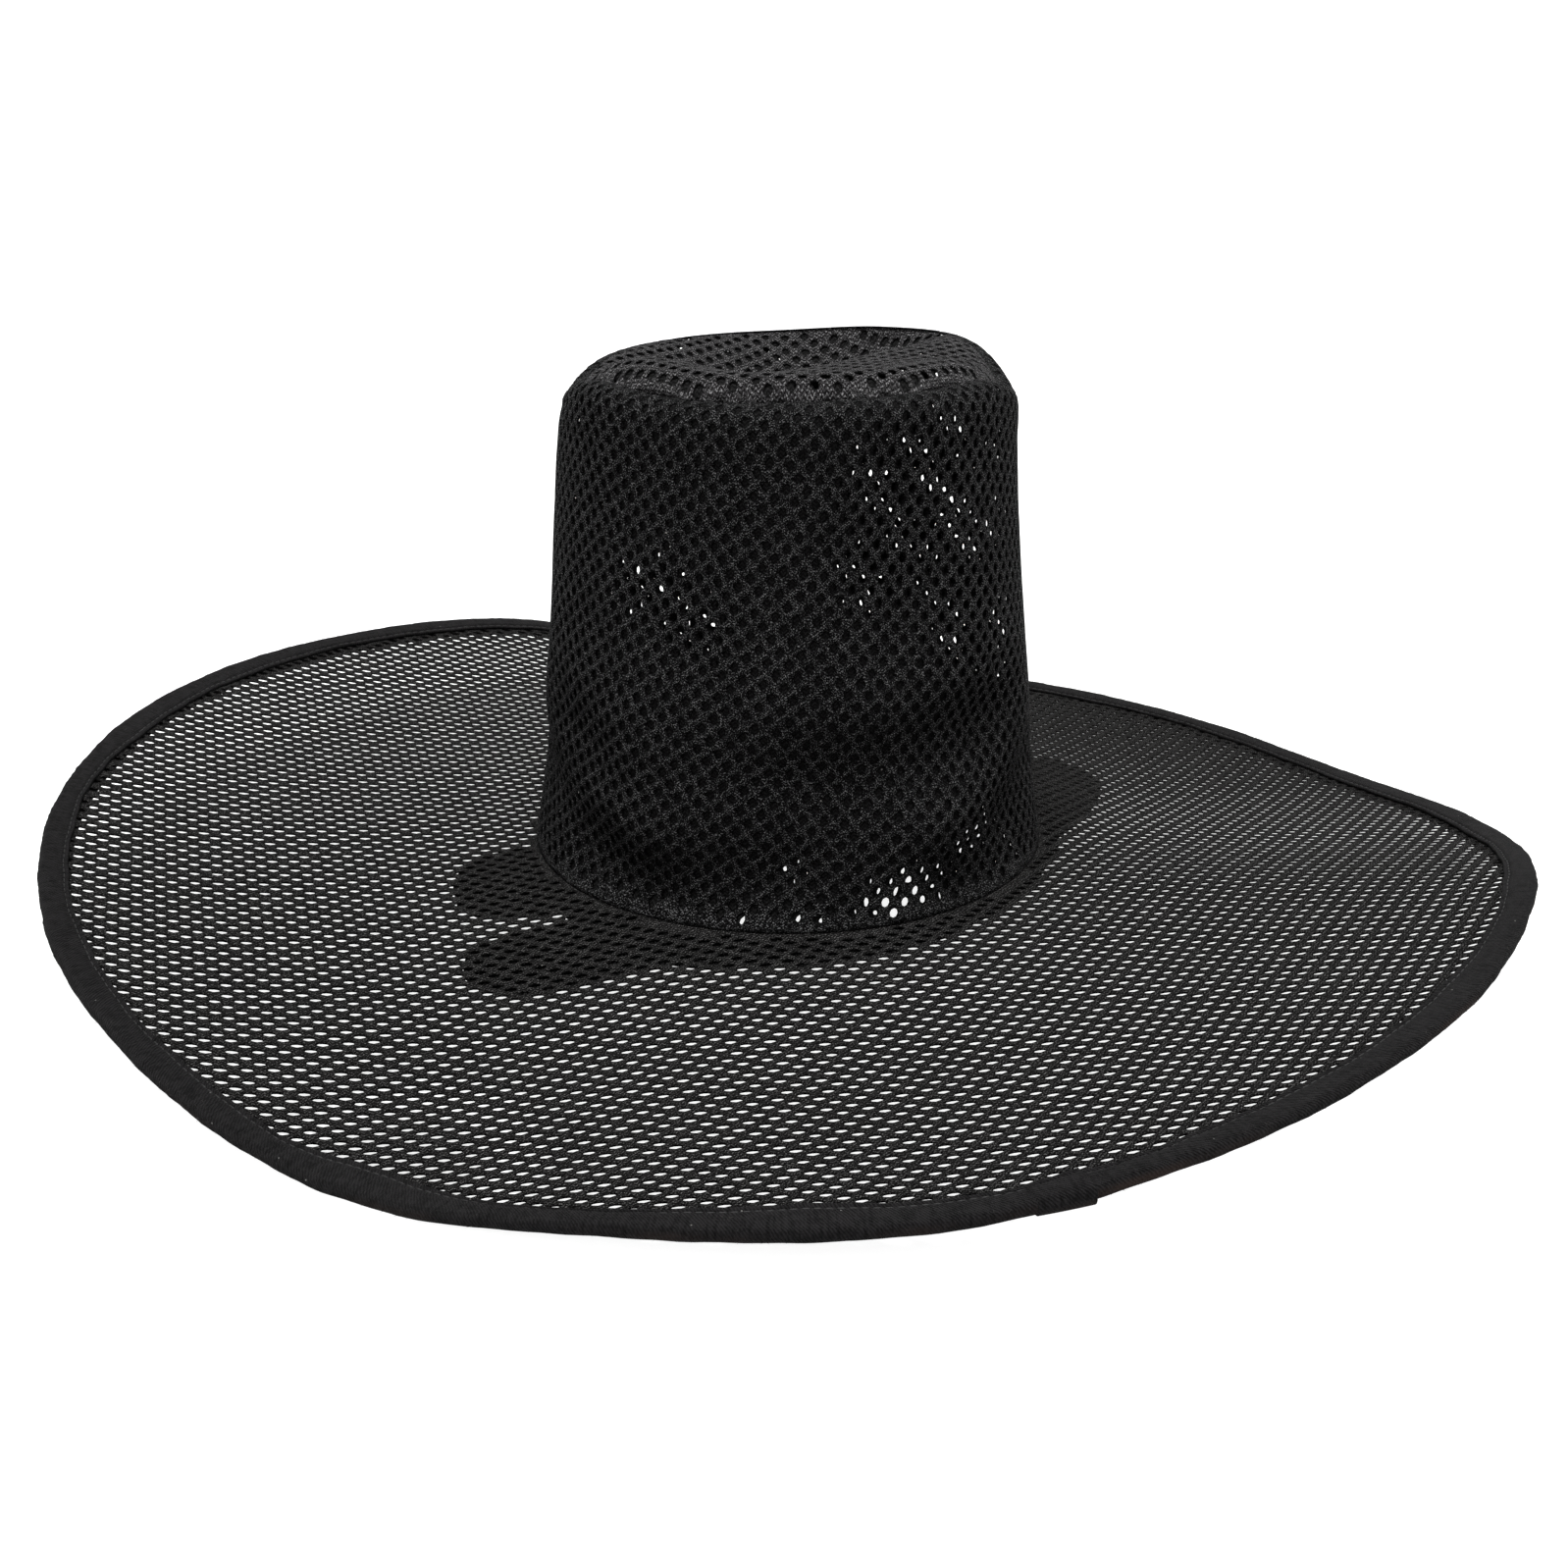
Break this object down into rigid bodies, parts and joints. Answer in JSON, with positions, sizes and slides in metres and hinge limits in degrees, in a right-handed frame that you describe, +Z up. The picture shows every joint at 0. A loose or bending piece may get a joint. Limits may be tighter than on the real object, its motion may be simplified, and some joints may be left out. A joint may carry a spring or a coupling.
{
  "type": "korean gat",
  "caption": "Wide-brimmed gat of black open mesh cloth: a tall crown that narrows upwards, a crushed tip, and a wavy brim with a tape-bound edge.",
  "frame": {"origin": "centre of the bounding box, on the surface that the hat stands on", "axes": "+Z up along the crown's axis, +Y to the back, +X to the right of one who looks at the front"},
  "size_m": [0.5019, 0.4828, 0.1919],
  "materials": {
    "mesh_cloth": "black knitted polyester mesh, stiffened, with a faint sheen on the yarn",
    "tip_cloth": "the same mesh, a little lighter where it is crushed",
    "cotton_tape": "matt black twill tape with fine fuzz",
    "band_cloth": "matt black backing cloth"
  },
  "bodies": {
    "root": {"crown_side": "mesh_cloth", "crown_tip": "tip_cloth", "brim": "mesh_cloth", "under_band": "band_cloth", "edge_binding": "cotton_tape", "binding_lap": "cotton_tape"}
  },
  "joints": []
}
